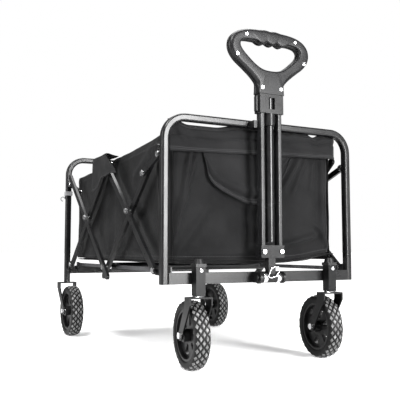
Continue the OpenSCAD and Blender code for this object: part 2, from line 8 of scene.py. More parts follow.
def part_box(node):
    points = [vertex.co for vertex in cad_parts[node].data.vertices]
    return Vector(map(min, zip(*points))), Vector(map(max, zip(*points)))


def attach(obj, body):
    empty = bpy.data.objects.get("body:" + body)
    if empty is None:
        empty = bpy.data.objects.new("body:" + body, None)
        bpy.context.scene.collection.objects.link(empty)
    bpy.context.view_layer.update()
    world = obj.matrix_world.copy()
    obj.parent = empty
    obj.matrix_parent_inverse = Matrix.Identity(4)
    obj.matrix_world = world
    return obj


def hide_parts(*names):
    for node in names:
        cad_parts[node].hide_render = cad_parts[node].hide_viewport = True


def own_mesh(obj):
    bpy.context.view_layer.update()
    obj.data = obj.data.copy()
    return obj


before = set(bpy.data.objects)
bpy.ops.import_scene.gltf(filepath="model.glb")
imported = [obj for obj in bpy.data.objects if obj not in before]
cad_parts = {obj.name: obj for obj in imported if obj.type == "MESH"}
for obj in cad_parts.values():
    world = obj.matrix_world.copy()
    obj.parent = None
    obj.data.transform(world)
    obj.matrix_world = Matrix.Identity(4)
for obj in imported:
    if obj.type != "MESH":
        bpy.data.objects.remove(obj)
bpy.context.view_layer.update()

# Studio: a pale floor that runs out to a white surround, and five soft rectangular lamps.
# The camera stands low, outside the front left corner, level with the cross rails.
camera = bpy.data.objects.new("camera", bpy.data.cameras.new("camera"))
bpy.context.scene.collection.objects.link(camera)
camera.data.lens = 56.03
camera.data.sensor_width = 36.0
camera.data.clip_end = 200.0
camera.location = (-0.853, -1.6827, 0.2787)
camera.rotation_euler = (math.radians(94.63), 0.0, math.radians(-27.54))
bpy.context.scene.camera = camera
bpy.context.scene.view_settings.view_transform = "Standard"

surround = bpy.data.worlds.new("studio")
bpy.context.scene.world = surround
surround.use_nodes = True
surround.node_tree.nodes["Background"].inputs["Color"].default_value = (1.0, 1.0, 1.0, 1.0)
seen = surround.node_tree.nodes.new("ShaderNodeLightPath")
glow = surround.node_tree.nodes.new("ShaderNodeMapRange")
glow.inputs["To Min"].default_value = 0.20
glow.inputs["To Max"].default_value = 1.0
surround.node_tree.links.new(seen.outputs["Is Camera Ray"], glow.inputs["Value"])
surround.node_tree.links.new(
    glow.outputs["Result"], surround.node_tree.nodes["Background"].inputs["Strength"])


def soft_lamp(name, place, aim, size, watts):
    lamp = bpy.data.objects.new(name, bpy.data.lights.new(name, "AREA"))
    bpy.context.scene.collection.objects.link(lamp)
    lamp.data.shape = "RECTANGLE"
    lamp.data.size = size[0]
    lamp.data.size_y = size[1]
    lamp.data.energy = watts
    lamp.location = place
    lamp.rotation_euler = (Vector(aim) - Vector(place)).to_track_quat("-Z", "Y").to_euler()


soft_lamp("front_panel", (0.78, -2.9, 0.95), (-0.2, -0.4, 0.45), (0.8, 1.5), 210.0)
soft_lamp("handle_strip", (1.78, -2.9, 0.85), (0.0, -0.4, 0.45), (0.28, 1.4), 17.0)
soft_lamp("raking_lamp", (-1.25, -1.15, 2.3), (0.05, -0.37, 0.42), (0.5, 0.5), 85.0)
soft_lamp("left_panel", (-2.6, 0.6, 1.2), (0.0, 0.0, 0.4), (1.0, 1.5), 60.0)
soft_lamp("top_panel", (0.1, 0.3, 2.8), (0.0, 0.0, 0.3), (1.6, 1.6), 75.0)

floor_mesh = bpy.data.meshes.new("studio_floor")
floor_shape = bmesh.new()
bmesh.ops.create_grid(floor_shape, x_segments=2, y_segments=2, size=60.0)
floor_shape.to_mesh(floor_mesh)
floor_shape.free()
studio_floor = bpy.data.objects.new("studio_floor", floor_mesh)
bpy.context.scene.collection.objects.link(studio_floor)
pale = bpy.data.materials.new("pale_floor")
pale.use_nodes = True
pale.node_tree.nodes["Principled BSDF"].inputs["Base Color"].default_value = (0.94, 0.94, 0.94, 1.0)
pale.node_tree.nodes["Principled BSDF"].inputs["Roughness"].default_value = 0.9
pale.node_tree.nodes["Principled BSDF"].inputs["Specular IOR Level"].default_value = 0.1
pale.node_tree.nodes["Principled BSDF"].inputs["Emission Color"].default_value = (1.0, 1.0, 1.0, 1.0)
spread = pale.node_tree.nodes.new("ShaderNodeTexCoord")
distance = pale.node_tree.nodes.new("ShaderNodeVectorMath")
distance.operation = "LENGTH"
lift_far = pale.node_tree.nodes.new("ShaderNodeMapRange")
lift_far.interpolation_type = "SMOOTHSTEP"
lift_far.inputs["From Min"].default_value = 0.7
lift_far.inputs["From Max"].default_value = 3.0
lift_far.inputs["To Min"].default_value = 0.30
lift_far.inputs["To Max"].default_value = 1.05
pale.node_tree.links.new(spread.outputs["Object"], distance.inputs[0])
pale.node_tree.links.new(distance.outputs["Value"], lift_far.inputs["Value"])
looked_at = pale.node_tree.nodes.new("ShaderNodeLightPath")
shown = pale.node_tree.nodes.new("ShaderNodeMath")
shown.operation = "MULTIPLY"
pale.node_tree.links.new(lift_far.outputs["Result"], shown.inputs[0])
pale.node_tree.links.new(looked_at.outputs["Is Camera Ray"], shown.inputs[1])
pale.node_tree.links.new(
    shown.outputs["Value"], pale.node_tree.nodes["Principled BSDF"].inputs["Emission Strength"])
floor_mesh.materials.append(pale)


# Frames: round-edged steel tube bent into two hoops, cross rails, tabs and caster posts.
# Welded, then sprayed with satin black powder, which leaves a faint orange-peel skin.
def finish_coat(name, dark, light, rough, spread, grain, height, metal=0.0, blotch=22.0, gloss=0.28):
    """A sprayed, moulded or plated skin: two close colours in soft blotches over a fine grain."""
    made = bpy.data.materials.new(name)
    made.use_nodes = True
    nodes = made.node_tree.nodes
    links = made.node_tree.links
    skin = nodes["Principled BSDF"]
    skin.inputs["Metallic"].default_value = metal
    skin.inputs["Specular IOR Level"].default_value = gloss
    where = nodes.new("ShaderNodeTexCoord")
    cloud = nodes.new("ShaderNodeTexNoise")
    cloud.inputs["Scale"].default_value = blotch
    cloud.inputs["Detail"].default_value = 5.0
    links.new(where.outputs["Object"], cloud.inputs["Vector"])
    tint = nodes.new("ShaderNodeValToRGB")
    tint.color_ramp.elements[0].position = 0.35
    tint.color_ramp.elements[0].color = (*dark, 1.0)
    tint.color_ramp.elements[1].position = 0.7
    tint.color_ramp.elements[1].color = (*light, 1.0)
    links.new(cloud.outputs["Fac"], tint.inputs["Fac"])
    links.new(tint.outputs["Color"], skin.inputs["Base Color"])
    shine = nodes.new("ShaderNodeMapRange")
    shine.inputs["From Min"].default_value = 0.3
    shine.inputs["From Max"].default_value = 0.7
    shine.inputs["To Min"].default_value = rough - spread
    shine.inputs["To Max"].default_value = rough + spread
    links.new(cloud.outputs["Fac"], shine.inputs["Value"])
    links.new(shine.outputs["Result"], skin.inputs["Roughness"])
    peel = nodes.new("ShaderNodeTexNoise")
    peel.inputs["Scale"].default_value = grain
    peel.inputs["Detail"].default_value = 2.0
    links.new(where.outputs["Object"], peel.inputs["Vector"])
    bump = nodes.new("ShaderNodeBump")
    bump.inputs["Strength"].default_value = 0.35
    bump.inputs["Distance"].default_value = height
    links.new(peel.outputs["Fac"], bump.inputs["Height"])
    links.new(bump.outputs["Normal"], skin.inputs["Normal"])
    return made


def dress(material, *nodes):
    """Gives CAD nodes their finish."""
    for node in nodes:
        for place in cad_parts[node].material_slots:
            place.material = material


black_powder = finish_coat(
    "black_powder_coat", (0.0028, 0.0028, 0.0031), (0.0052, 0.0052, 0.0055), 0.30, 0.04, 900.0, 0.00004)
dress(black_powder, "rear_frame", "rear_rail", "rear_leg_brackets", "front_frame", "front_rail",
      "front_leg_brackets", "handle_bracket")

# Scissor sides: channel bars in the same black powder, hinged on plain zinc-plated rivets.
# The cross tube ties the two lower middle pivots; swing links tie the bars to the legs.
zinc_plate = finish_coat(
    "zinc_plate", (0.62, 0.62, 0.63), (0.78, 0.78, 0.79), 0.24, 0.06, 500.0, 0.00004,
    metal=1.0, blotch=160.0, gloss=0.5)
dress(black_powder, "left_bar_a", "left_bar_b", "left_bar_c", "left_bar_d", "right_bar_a",
      "right_bar_b", "right_bar_c", "right_bar_d", "cross_tube", "front_links", "rear_links")
dress(zinc_plate, "bar_a_rivets", "bar_b_bolts", "bar_c_rivets", "front_link_rivets",
      "rear_link_rivets", "rear_axle_bolts", "front_left_axle_bolt", "front_right_axle_bolt")
strut_steel = finish_coat(
    "bare_strut_steel", (0.05, 0.05, 0.053), (0.10, 0.10, 0.105), 0.36, 0.08, 300.0, 0.00006,
    metal=0.6, blotch=60.0, gloss=0.4)
dress(strut_steel, "front_floor_struts", "rear_floor_struts")


# Wheels: soft rubber tyres on six-spoke plastic rims, between bent steel plate forks.
# The tyre is moulded in one piece: round sidewalls, a raised ring and staggered diamond knobs.
moulded_black = finish_coat(
    "moulded_black_plastic", (0.0030, 0.0030, 0.0032), (0.0060, 0.0060, 0.0062), 0.42, 0.06, 1400.0,
    0.00006)
rubber = finish_coat(
    "tyre_rubber", (0.0030, 0.0030, 0.0031), (0.0065, 0.0065, 0.0065), 0.55, 0.08, 1100.0, 0.00010,
    blotch=34.0, gloss=0.14)
# The knobs get a far lighter rubber than the tyre: a painted highlight on every knob face, not scuffing.
knob_highlight_rubber = finish_coat(
    "tyre_knob_painted_highlight", (0.045, 0.045, 0.045), (0.19, 0.19, 0.19), 0.50, 0.08, 900.0, 0.00012,
    blotch=90.0)
# Forks and caster posts: a darker, less glossy copy of the black powder coat, painted shade; the real parts
# carry the same powder coat.
shaded_powder_copy = finish_coat(
    "fork_powder_painted_shade", (0.0024, 0.0024, 0.0026), (0.0048, 0.0048, 0.0050), 0.34, 0.05, 900.0, 0.00004,
    gloss=0.13)
dress(shaded_powder_copy, "rear_left_fork", "rear_right_fork", "front_left_fork", "front_right_fork",
      "front_left_post", "front_right_post")
dress(moulded_black, "rear_left_rim", "rear_right_rim", "front_left_rim", "front_right_rim")


def settled(name, shape, *materials, smooth=True):
    """Turns a finished bmesh into a piece at the origin. smooth None keeps each face's own."""
    bmesh.ops.remove_doubles(shape, verts=shape.verts, dist=0.00001)
    bmesh.ops.recalc_face_normals(shape, faces=shape.faces)
    mesh = bpy.data.meshes.new(name)
    shape.to_mesh(mesh)
    shape.free()
    if smooth is not None:
        mesh.polygons.foreach_set("use_smooth", [smooth] * len(mesh.polygons))
    for material in materials:
        mesh.materials.append(material)
    piece = bpy.data.objects.new(name, mesh)
    bpy.context.scene.collection.objects.link(piece)
    return piece


tyre_section = [
    (-0.0160, 0.0600), (-0.0182, 0.0618), (-0.0190, 0.0655), (-0.0186, 0.0672), (-0.0190, 0.0690),
    (-0.0187, 0.0732), (-0.0174, 0.0761), (-0.0142, 0.0781), (-0.0080, 0.0791), (0.0, 0.0794),
    (0.0080, 0.0791), (0.0142, 0.0781), (0.0174, 0.0761), (0.0187, 0.0732), (0.0190, 0.0690),
    (0.0186, 0.0672), (0.0190, 0.0655), (0.0182, 0.0618), (0.0160, 0.0600)]
knobs_round = 26
knob_rows = [(0.0, 0.0799, 0.0, 0.0), (0.0080, 0.0795, 0.5, 0.09), (-0.0080, 0.0795, 0.5, -0.09),
             (0.0149, 0.0774, 0.0, 0.50), (-0.0149, 0.0774, 0.0, -0.50)]


def tyre(name, node, body, yaw):
    """One tyre, turned on its axle line and set on the CAD tyre's place."""
    low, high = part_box(node)
    middle = (low + high) / 2
    shape = bmesh.new()
    ring = [shape.verts.new((x, 0.0, r)) for x, r in tyre_section]
    edges = [shape.edges.new(pair) for pair in zip(ring, ring[1:] + ring[:1])]
    bmesh.ops.spin(shape, geom=ring + edges, cent=(0.0, 0.0, 0.0), axis=(1.0, 0.0, 0.0),
                   dvec=(0.0, 0.0, 0.0), angle=math.tau, steps=84, use_merge=True)
    for face in shape.faces:
        face.smooth = True
    for across, radius, offset, lean in knob_rows:
        for step in range(knobs_round):
            turn = Matrix.Rotation(math.tau * (step + offset) / knobs_round, 4, "X")
            seat = Matrix.Translation((across, 0.0, radius)) @ Matrix.Rotation(lean, 4, "Y")
            stretch = Matrix.Diagonal((0.0044, 0.0074, 1.0, 1.0))
            knob = bmesh.ops.create_cone(shape, cap_ends=True, segments=4, radius1=1.0, radius2=0.74,
                                         depth=0.0022, matrix=turn @ seat @ stretch)
            # Knob faces take the lighter knob rubber, a painted highlight.
            for face in {f for v in knob["verts"] for f in v.link_faces}:
                face.material_index = 1
    bmesh.ops.transform(shape, matrix=Matrix.Translation(middle) @ Matrix.Rotation(yaw, 4, "Z"),
                        verts=shape.verts)
    piece = settled(name, shape, rubber, knob_highlight_rubber, smooth=None)
    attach(piece, body)
    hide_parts(node)


caster_turn = -math.radians(5.0)
tyre("rear_left_tread", "rear_left_tyre", "rear_wheel_left", 0.0)
tyre("rear_right_tread", "rear_right_tyre", "rear_wheel_right", 0.0)
tyre("front_left_tread", "front_left_tyre", "front_wheel_left", caster_turn)
tyre("front_right_tread", "front_right_tyre", "front_wheel_right", caster_turn)

# Caster bearings: a bright pressed race between each post and its fork.
# The posts carry moulded caps, and a plated bolt holds each post to the cross rail.
dress(moulded_black, "post_caps")
for side, post in (("left", "front_left_post"), ("right", "front_right_post")):
    low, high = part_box(post)
    spot = (low + high) / 2
    race = bmesh.new()
    bmesh.ops.create_cone(race, cap_ends=True, segments=40, radius1=0.0150, radius2=0.0136,
                          depth=0.0024, matrix=Matrix.Translation((spot.x, spot.y, low.z - 0.0014)))
    bearing = settled(f"{side}_bearing_race", race, zinc_plate, smooth=False)
    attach(bearing, f"caster_{side}")
    bolts = bmesh.new()
    bolt_spot = Matrix.Translation((spot.x + 0.002, low.y, low.z + 0.058))
    bmesh.ops.create_uvsphere(bolts, u_segments=20, v_segments=10, radius=0.0052,
                              matrix=bolt_spot @ Matrix.Diagonal((1, 0.45, 1, 1)))
    bolt = settled(f"{side}_post_bolts", bolts, zinc_plate)
    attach(bolt, "front")


# Basket cloth: black coated Oxford polyester, cut in panels and lock-stitched at its hems.
# Every panel keeps its flat cut in its own UV map, in metres, so weave and seams follow it.
def woven(name, thread, seams_up=(), seams_across=(), painted_light_level=1.0):
    """Plain weave with slubs, and rows of stitches at the given heights and widths of the cut.
    painted_light_level scales the cloth's colour: above 1 is painted light, below 1 painted shade.
    """
    made = bpy.data.materials.new(name)
    made.use_nodes = True
    nodes = made.node_tree.nodes
    links = made.node_tree.links
    skin = nodes["Principled BSDF"]
    skin.inputs["Sheen Weight"].default_value = 0.02
    skin.inputs["Sheen Roughness"].default_value = 0.5
    skin.inputs["Specular IOR Level"].default_value = 0.09
    cut = nodes.new("ShaderNodeUVMap")
    cut.uv_map = "cut"
    split = nodes.new("ShaderNodeSeparateXYZ")
    links.new(cut.outputs["UV"], split.inputs["Vector"])

    def calc(kind, first, second=0.0, third=None):
        step = nodes.new("ShaderNodeMath")
        step.operation = kind
        for place, value in enumerate((first, second, third)):
            if value is None:
                continue
            if isinstance(value, (int, float)):
                step.inputs[place].default_value = value
            else:
                links.new(value, step.inputs[place])
        return step.outputs["Value"]

    across = calc("SINE", calc("MULTIPLY", split.outputs["X"], math.tau / thread))
    up = calc("SINE", calc("MULTIPLY", split.outputs["Y"], math.tau / thread))
    weave = calc("MULTIPLY", across, up)
    slub = nodes.new("ShaderNodeTexNoise")
    slub.inputs["Scale"].default_value = 260.0
    slub.inputs["Detail"].default_value = 3.0
    links.new(cut.outputs["UV"], slub.inputs["Vector"])
    cloud = nodes.new("ShaderNodeTexNoise")
    cloud.inputs["Scale"].default_value = 9.0
    cloud.inputs["Detail"].default_value = 6.0
    links.new(cut.outputs["UV"], cloud.inputs["Vector"])
    level = calc("ADD", calc("MULTIPLY", weave, 0.16), cloud.outputs["Fac"])
    level = calc("ADD", level, calc("MULTIPLY", slub.outputs["Fac"], 0.25))
    stitches = None
    for along, line, places in ((split.outputs["X"], split.outputs["Y"], seams_up),
                                (split.outputs["Y"], split.outputs["X"], seams_across)):
        for place in places:
            near = calc("LESS_THAN", calc("ABSOLUTE", calc("SUBTRACT", line, place)), 0.0007)
            dash = calc("LESS_THAN", calc("FRACT", calc("MULTIPLY", along, 1.0 / 0.0042)), 0.68)
            row = calc("MULTIPLY", near, dash)
            stitches = row if stitches is None else calc("MAXIMUM", stitches, row)
    # The ramp colours are multiplied by painted_light_level: lighter copies of the cloth carry painted
    # light, darker ones painted shade.
    tint = nodes.new("ShaderNodeValToRGB")
    tint.color_ramp.elements[0].position = 0.42
    tint.color_ramp.elements[0].color = (0.0016 * painted_light_level, 0.0016 * painted_light_level, 0.0018 * painted_light_level, 1.0)
    tint.color_ramp.elements[1].position = 0.86
    tint.color_ramp.elements[1].color = (0.0078 * painted_light_level, 0.0078 * painted_light_level, 0.0081 * painted_light_level, 1.0)
    links.new(level, tint.inputs["Fac"])
    colour = tint.outputs["Color"]
    height = calc("ADD", calc("MULTIPLY", weave, 0.5), calc("MULTIPLY", slub.outputs["Fac"], 0.8))
    if stitches is not None:
        thread_mix = nodes.new("ShaderNodeMix")
        thread_mix.data_type = "RGBA"
        thread_mix.inputs[7].default_value = (0.030, 0.030, 0.031, 1.0)
        links.new(stitches, thread_mix.inputs[0])
        links.new(colour, thread_mix.inputs[6])
        colour = thread_mix.outputs[2]
        height = calc("ADD", height, calc("MULTIPLY", stitches, 2.5))
    links.new(colour, skin.inputs["Base Color"])
    dull = nodes.new("ShaderNodeMapRange")
    dull.inputs["To Min"].default_value = 0.66
    dull.inputs["To Max"].default_value = 0.86
    links.new(slub.outputs["Fac"], dull.inputs["Value"])
    links.new(dull.outputs["Result"], skin.inputs["Roughness"])
    bump = nodes.new("ShaderNodeBump")
    bump.inputs["Strength"].default_value = 0.55
    bump.inputs["Distance"].default_value = 0.00025
    links.new(height, bump.inputs["Height"])
    links.new(bump.outputs["Normal"], skin.inputs["Normal"])
    return made


def panel(name, size, steps, place, material, thick, body, node=None):
    """One cut of cloth: a grid as wide and tall as the cut, laid out by place(across, up)."""
    shape = bmesh.new()
    bmesh.ops.create_grid(shape, x_segments=steps[0], y_segments=steps[1], size=0.5)
    cut = shape.loops.layers.uv.new("cut")
    for face in shape.faces:
        for corner in face.loops:
            corner[cut].uv = ((corner.vert.co.x + 0.5) * size[0], (corner.vert.co.y + 0.5) * size[1])
    for point in shape.verts:
        point.co = place(point.co.x + 0.5, point.co.y + 0.5)
    mesh = bpy.data.meshes.new(name)
    shape.to_mesh(mesh)
    shape.free()
    mesh.polygons.foreach_set("use_smooth", [True] * len(mesh.polygons))
    mesh.materials.append(material)
    piece = bpy.data.objects.new(name, mesh)
    bpy.context.scene.collection.objects.link(piece)
    body_of_cloth = piece.modifiers.new("cloth thickness", "SOLIDIFY")
    body_of_cloth.thickness = thick
    body_of_cloth.offset = 0.0
    fine = piece.modifiers.new("soft drape", "SUBSURF")
    fine.levels = 1
    fine.render_levels = 1
    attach(piece, body)
    if node is not None:
        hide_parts(node)
    return piece


def mixed(a, b, share):
    return a + (b - a) * share


def eased(low, high, value):
    share = min(1.0, max(0.0, (value - low) / (high - low)))
    return share * share * (3.0 - 2.0 * share)


def crease(x, z, start, end, width, height):
    """A soft fold that rises along a line and runs out at its ends."""
    run = (end[0] - start[0], end[1] - start[1])
    length = math.hypot(*run)
    share = ((x - start[0]) * run[0] + (z - start[1]) * run[1]) / (length * length)
    off = ((x - start[0]) * run[1] - (z - start[1]) * run[0]) / length
    ends = eased(-0.18, 0.12, share) * (1.0 - eased(0.82, 1.18, share))
    ridge = math.exp(-(off / width) ** 2) - 0.35 * math.exp(-((off - 1.9 * width) / (1.3 * width)) ** 2)
    return 1.35 * height * ends * ridge


def rumple(a, b, seed, scale, height):
    """Uneven slack of the cloth."""
    rough = noise.noise(Vector((a * scale, b * scale, seed)))
    small = noise.noise(Vector((a * scale * 2.7, b * scale * 2.1, seed + 9.0)))
    return height * (rough + 0.45 * small)


# Front wall: hangs from a wide hem band under the top rail and is bagged out by slack.
# Pleats run down from the band behind the left leg; the right lower corner is pulled up.
front_low, front_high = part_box("basket_front_wall")
front_left, front_right = front_low.x, 0.2225
front_plane = (front_low.y + front_high.y) / 2
front_size = (0.47, 0.325)


def front_wall_at(across, up):
    x = mixed(front_left, front_right, across)
    lift = 0.020 * eased(0.02, 0.23, x) ** 2
    z = mixed(front_low.z + lift, front_high.z - 0.004, up)
    out = rumple(x, z, 3.0, 9.0, 0.0034) + rumple(x, z, 5.0, 34.0, 0.0006)
    out += 0.0030 * math.sin(math.pi * min(1.0, up * 1.15)) * (1.0 - (2.0 * across - 1.0) ** 4)
    for start, end, width, height in (
            ((-0.196, 0.505), (-0.236, 0.300), 0.0055, 0.0062),
            ((-0.180, 0.505), (-0.216, 0.370), 0.0050, 0.0050),
            ((-0.226, 0.275), (-0.150, 0.380), 0.0110, 0.0048),
            ((-0.120, 0.440), (-0.010, 0.385), 0.0140, 0.0042),
            ((0.122, 0.515), (0.066, 0.430), 0.0075, 0.0052),
            ((0.140, 0.510), (0.098, 0.420), 0.0065, 0.0038),
            ((0.168, 0.512), (0.160, 0.430), 0.0085, 0.0034),
            ((0.196, 0.515), (0.192, 0.300), 0.0075, 0.0050),
            ((0.062, 0.290), (0.172, 0.318), 0.0080, 0.0062),
            ((0.176, 0.345), (0.216, 0.285), 0.0070, 0.0046),
            ((-0.200, 0.268), (0.060, 0.276), 0.0070, 0.0026)):
        out += crease(x, z, start, end, width, height)
    corner = eased(0.205, 0.2225, x) + eased(-0.219, front_left, x) * 0.0
    side = eased(0.222, 0.2366, -x)
    out -= 0.010 * corner ** 2 + 0.004 * side ** 2
    out = min(0.0145, max(-0.012, out))
    return Vector((x, front_plane - out, z))


front_cloth = woven("front_wall_cloth", 0.0011, seams_up=(0.010,), seams_across=(0.458,))
panel("front_wall", front_size, (150, 96), front_wall_at, front_cloth, 0.0012, "front",
      node="basket_front_wall")

band_low = [(-0.254, 0.510), (-0.027, 0.516), (0.232, 0.522)]


def band_low_at(x):
    if x < band_low[1][0]:
        share = (x - band_low[0][0]) / (band_low[1][0] - band_low[0][0])
        return mixed(band_low[0][1], band_low[1][1], share)
    share = (x - band_low[1][0]) / (band_low[2][0] - band_low[1][0])
    return mixed(band_low[1][1], band_low[2][1], share)


def band_at(across, up):
    x = mixed(band_low[0][0], band_low[2][0], across)
    slack = eased(-0.236, -0.200, x) * (1.0 - eased(-0.130, -0.060, x))
    slack += math.exp(-((x - 0.168) / 0.016) ** 2)
    z = mixed(band_low_at(x), 0.5885 - 0.0105 * slack, up)
    out = 0.0105 + rumple(x, z, 21.0, 12.0, 0.0014)
    out += 0.0022 * math.exp(-((up - 0.03) / 0.05) ** 2)
    out -= 0.0030 * math.exp(-((up - 0.55 - 0.06 * math.sin(11.0 * x)) / 0.045) ** 2)
    out += 0.0016 * math.exp(-((up - 0.78) / 0.09) ** 2)
    out -= 0.0100 * eased(0.78, 0.93, up)
    out += crease(x, z, (-0.236, 0.572), (-0.214, 0.540), 0.006, 0.0026)
    out += crease(x, z, (0.06, 0.548), (0.20, 0.544), 0.005, 0.0016)
    return Vector((x, front_plane - out, z))


# The hem band is a lighter copy of the cloth (1.25): painted light from above on the top of the wall.
band_cloth = woven("hem_band_cloth", 0.0011, seams_up=(0.006, 0.0105, 0.070), seams_across=(0.481,),
                   painted_light_level=1.25)
panel("front_hem_band", (0.486, 0.076), (160, 26), band_at, band_cloth, 0.0018, "front")

swag_line = [(-0.1610, 0.5060), (-0.1545, 0.4800), (-0.1500, 0.4540), (-0.1340, 0.4340),
             (-0.1060, 0.4180), (-0.0760, 0.4050), (-0.0410, 0.3930), (-0.0060, 0.3930),
             (0.0250, 0.4080), (0.0500, 0.4360), (0.0720, 0.4740), (0.0920, 0.5140)]


def swag_low_at(share):
    spot = share * (len(swag_line) - 1)
    first = min(len(swag_line) - 2, int(spot))
    part = spot - first
    before = swag_line[max(0, first - 1)]
    a = swag_line[first]
    b = swag_line[first + 1]
    after = swag_line[min(len(swag_line) - 1, first + 2)]
    point = []
    for axis in (0, 1):
        m0 = (b[axis] - before[axis]) / 2
        m1 = (after[axis] - a[axis]) / 2
        point.append((2 * part ** 3 - 3 * part ** 2 + 1) * a[axis] + (part ** 3 - 2 * part ** 2 + part) * m0
                     + (3 * part ** 2 - 2 * part ** 3) * b[axis] + (part ** 3 - part ** 2) * m1)
    return point


def swag_at(across, up):
    low_x, low_z = swag_low_at(across)
    top_x = mixed(-0.164, 0.094, across)
    x = mixed(low_x, top_x, up)
    z = mixed(low_z, 0.530, up)
    belly = math.sin(math.pi * across)
    out = 0.0066 + 0.0056 * belly * (1.0 - up) + rumple(x, z, 33.0, 11.0, 0.0014)
    out += 0.0022 * math.exp(-((up - 0.035) / 0.04) ** 2)
    out -= 0.0050 * math.exp(-((up - 0.14 + 0.03 * belly) / 0.045) ** 2) * belly
    out += 0.0030 * math.exp(-((up - 0.27 + 0.03 * belly) / 0.06) ** 2) * belly
    out += 0.0024 * math.sin(5.0 * math.pi * up) * eased(0.45, 0.75, across) * (1.0 - up)
    out = min(0.0175, out)
    return Vector((x, front_plane - out, z))


# The swag is a lighter copy of the cloth (1.35): painted light from above on the flap.
swag_cloth = woven("swag_cloth", 0.0011, seams_up=(0.006, 0.012), painted_light_level=1.35)
panel("front_swag", (0.30, 0.13), (90, 48), swag_at, swag_cloth, 0.0014, "front")

# Rear and side walls: plain panels with a stitched top hem, held at the corners and hubs.
# They sag between the hubs, and are shorter towards the rear.
rear_low, rear_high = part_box("basket_rear_wall")
rear_plane = (rear_low.y + rear_high.y) / 2


def rear_wall_at(across, up):
    x = mixed(-0.2340, 0.2340, across)
    dip = 0.010 * math.sin(math.pi * across)
    z = mixed(rear_low.z, rear_high.z - dip, up)
    out = rumple(x, z, 51.0, 8.0, 0.0026)
    out += 0.0034 * math.sin(math.pi * up) * math.sin(math.pi * across)
    for start, end, width, height in (
            ((-0.225, 0.515), (-0.120, 0.330), 0.010, 0.0042),
            ((0.225, 0.515), (0.110, 0.340), 0.010, 0.0044),
            ((-0.030, 0.500), (0.010, 0.330), 0.013, 0.0030),
            ((-0.205, 0.275), (-0.110, 0.330), 0.009, 0.0036),
            ((0.210, 0.275), (0.120, 0.315), 0.009, 0.0034)):
        out += crease(x, z, start, end, width, height)
    out += 0.0016 * math.exp(-((up - 0.955) / 0.03) ** 2)
    out -= 0.004 * eased(0.222, 0.234, abs(x)) ** 2
    return Vector((x, rear_plane + min(0.0065, out), z))


plain_cloth = woven("rear_wall_cloth", 0.0011, seams_up=(0.010, 0.252), seams_across=(0.008, 0.464))
panel("rear_wall", (0.472, 0.275), (120, 70), rear_wall_at, plain_cloth, 0.0012, "rear",
      node="basket_rear_wall")

side_low, side_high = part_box("basket_right_side")
side_plane = (side_low.x + side_high.x) / 2
hub_y = 0.018
side_front = side_low.y + 0.0035
side_back = side_high.y - 0.0035


def side_top_at(y):
    if y < hub_y:
        along = (y - side_front) / (hub_y - side_front)
        return mixed(0.5700, 0.5465, along) - 0.0060 * math.sin(math.pi * along)
    along = (y - hub_y) / (side_back - hub_y)
    return mixed(0.5465, 0.5250, along) - 0.0055 * math.sin(math.pi * along)


def side_wall_at(side, seed):
    def place(across, up):
        y = mixed(side_front, side_back, across)
        z = mixed(side_low.z + 0.0005, side_top_at(y), up)
        out = rumple(y, z, seed, 7.0, 0.0036) + rumple(y, z, seed + 2.0, 30.0, 0.0007)
        for start, end, width, height in (
                ((hub_y - 0.010, 0.520), (-0.260, 0.285), 0.013, 0.0044),
                ((hub_y + 0.020, 0.515), (0.300, 0.285), 0.013, 0.0044),
                ((-0.320, 0.545), (-0.332, 0.300), 0.009, 0.0044),
                ((-0.285, 0.540), (-0.305, 0.330), 0.011, 0.0034),
                ((-0.350, 0.545), (-0.352, 0.290), 0.006, 0.0034),
                ((-0.240, 0.535), (-0.120, 0.470), 0.012, 0.0030),
                ((0.120, 0.520), (0.215, 0.400), 0.013, 0.0034),
                ((0.375, 0.500), (0.345, 0.300), 0.009, 0.0036),
                ((-0.040, 0.300), (0.080, 0.290), 0.010, 0.0028),
                ((-0.200, 0.272), (-0.060, 0.276), 0.007, 0.0026)):
            out += crease(y, z, start, end, width, height)
        out += 0.0018 * math.exp(-((up - 0.955) / 0.028) ** 2)
        out -= 0.0042 * math.exp(-((y - hub_y) / 0.05) ** 2) * eased(0.7, 1.0, up)
        ends = eased(side_back - 0.012, side_back, y) + eased(-side_front - 0.012, -side_front, -y)
        out -= 0.003 * ends
        pulled = 0.013 * eased(0.32, 0.3665, -y) ** 2 * (1.0 if side > 0 else 0.25)
        return Vector((side * (side_plane + min(0.0105, max(-0.012, out)) - pulled), y, z))
    return place


side_cloth = woven("side_wall_cloth", 0.0011, seams_up=(0.010, 0.292), seams_across=(0.008, 0.390, 0.762))
for side, name, node in ((-1.0, "left_side_wall", "basket_left_side"),
                         (1.0, "right_side_wall", "basket_right_side")):
    wall = panel(name, (0.770, 0.310), (190, 76), side_wall_at(side, 60.0 + 7.0 * side), side_cloth,
                 0.0012, "rear", node=node)
    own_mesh(wall)

# Ear flaps: doubled cloth that wraps the top middle hubs and hides the upper bar ends.
# Each is sewn to the side wall's hem and hangs down outside the bars.
ear_edge = [(0.0960, 0.4520), (0.0700, 0.4500), (0.0380, 0.4620), (0.0050, 0.4830),
            (-0.0300, 0.4850), (-0.0650, 0.4900), (-0.1100, 0.4860)]


